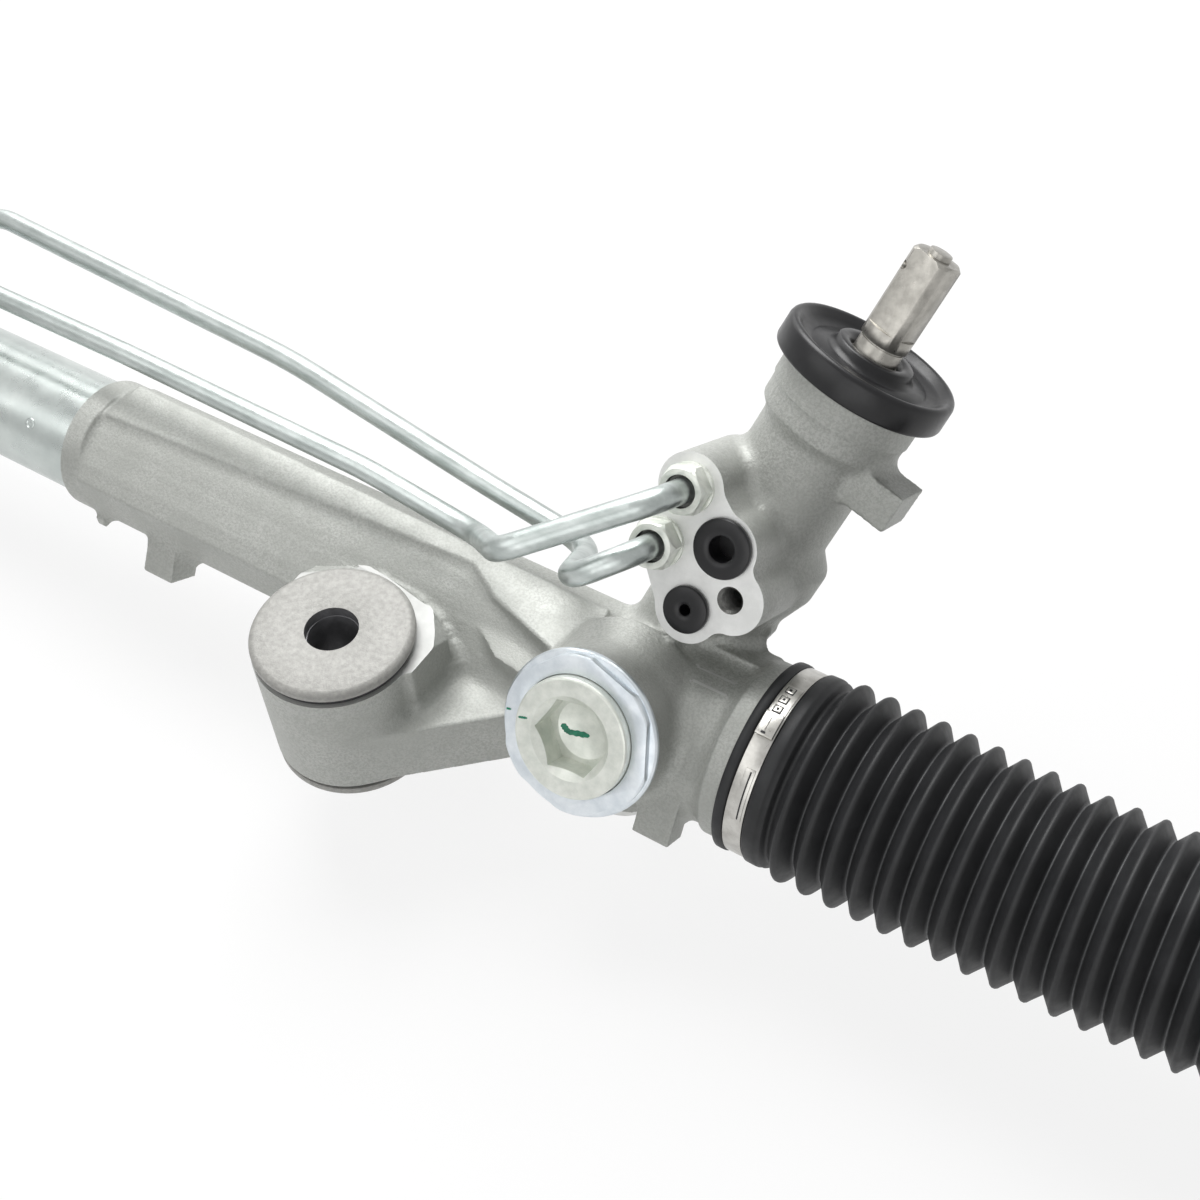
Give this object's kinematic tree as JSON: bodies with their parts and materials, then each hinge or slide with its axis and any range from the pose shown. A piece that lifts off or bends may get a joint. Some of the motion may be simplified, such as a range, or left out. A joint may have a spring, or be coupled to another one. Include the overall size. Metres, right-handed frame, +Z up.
{
  "type": "steering rack",
  "caption": "Hydraulic rack and pinion steering gear with a leaning valve tower, bushed mounting ears, transfer pipes, bellows boots and inner tie rods.",
  "frame": {"origin": "centre of the lower seat of the pinion-side mounting bush", "axes": "+X along the rack towards the pinion-side boot, +Z up along the bush bore, +Y away from the mounting ears' side"},
  "size_m": [1.4436, 0.2148, 0.2293],
  "materials": {
    "cast_aluminium": "matte cast",
    "machined_aluminium": "satin",
    "tube_steel": "zinc plated",
    "zinc_steel": "zinc plated",
    "rough_steel": "blasted",
    "ground_steel": "ground",
    "forged_steel": "phosphated",
    "spring_steel": "satin",
    "stainless_band": "polished",
    "bush_rubber": "matte",
    "boot_rubber": "satin",
    "seal_rubber": "matte",
    "cap_plastic": "moulded",
    "bearing_plastic": "satin"
  },
  "bodies": {
    "housing": {"gear_housing": "cast_aluminium", "near_bush_sleeves": "rough_steel", "near_bush_rubbers": "bush_rubber", "far_bracket": "cast_aluminium", "far_bush_sleeves": "rough_steel", "far_bush_rubbers": "bush_rubber", "cylinder_tube": "tube_steel", "tube_ports": "tube_steel", "inner_bulkhead": "machined_aluminium", "inner_seal": "seal_rubber", "outer_bulkhead": "machined_aluminium", "outer_seal": "seal_rubber", "yoke": "machined_aluminium", "yoke_liner": "bearing_plastic", "yoke_seal": "seal_rubber", "yoke_spring": "spring_steel", "yoke_plug": "zinc_steel", "yoke_locknut": "zinc_steel", "lower_bearing_outer": "ground_steel", "bearing_balls": "ground_steel", "lower_cap": "machined_aluminium", "pinion_bearing": "ground_steel", "upper_bearing": "ground_steel", "input_seal": "seal_rubber", "snap_ring": "ground_steel", "dust_cap": "cap_plastic", "right_turn_pipe": "zinc_steel", "left_turn_pipe": "zinc_steel", "valve_pipe_nuts": "zinc_steel", "tube_pipe_nuts": "zinc_steel", "return_plug": "cap_plastic", "pressure_plug": "cap_plastic", "right_bellows": "boot_rubber", "left_bellows": "boot_rubber", "large_clamps": "stainless_band"},
    "rack": {"rack_bar": "ground_steel", "piston": "ground_steel", "piston_ring": "bearing_plastic", "right_ball_socket": "forged_steel", "right_ball_seat": "bearing_plastic", "left_ball_socket": "forged_steel", "left_ball_seat": "bearing_plastic"},
    "pinion": {"pinion": "ground_steel", "lower_bearing_inner": "ground_steel", "pinion_nut": "ground_steel", "valve_sleeve": "ground_steel", "valve_rings": "bearing_plastic", "drive_pin": "ground_steel"},
    "input": {"input_shaft": "ground_steel", "torsion_bar": "ground_steel"},
    "right_tie_rod": {"right_tie_rod": "forged_steel", "right_jam_nut": "zinc_steel", "right_boot_neck": "boot_rubber", "right_small_clamp": "stainless_band"},
    "left_tie_rod": {"left_tie_rod": "forged_steel", "left_jam_nut": "zinc_steel", "left_boot_neck": "boot_rubber", "left_small_clamp": "stainless_band"}
  },
  "joints": [
    {"name": "rack_slide", "type": "slide", "parent": "housing", "child": "rack", "axis": [1, 0, 0], "range_m": [-0.074, 0.074], "deforming": ["right_bellows", "left_bellows"]},
    {"name": "pinion_spin", "type": "hinge", "parent": "housing", "child": "pinion", "pos_m": [0.103, 0.07243, 0.01823], "axis": [0.2756, 0.4951, 0.824], "range_deg": [-532, 532]},
    {"name": "input_twist", "type": "hinge", "parent": "pinion", "child": "input", "pos_m": [0.103, 0.07243, 0.01823], "axis": [0.2756, 0.4951, 0.824], "range_deg": [-4, 4], "stiffness_Nm_per_rad": 75},
    {"name": "right_rod_swing", "type": "hinge", "parent": "rack", "child": "right_tie_rod", "pos_m": [0.2763, 0.057, 0.0275], "axis": [0, -1, 0], "range_deg": [-20, 20], "deforming": ["right_boot_neck"]},
    {"name": "left_rod_swing", "type": "hinge", "parent": "rack", "child": "left_tie_rod", "pos_m": [-0.6377, 0.057, 0.0275], "axis": [0, 1, 0], "range_deg": [-20, 20], "deforming": ["left_boot_neck"]}
  ],
  "couplings": [
    {"joint": "pinion_spin", "follows": "rack_slide", "rad_per_m": 125}
  ]
}
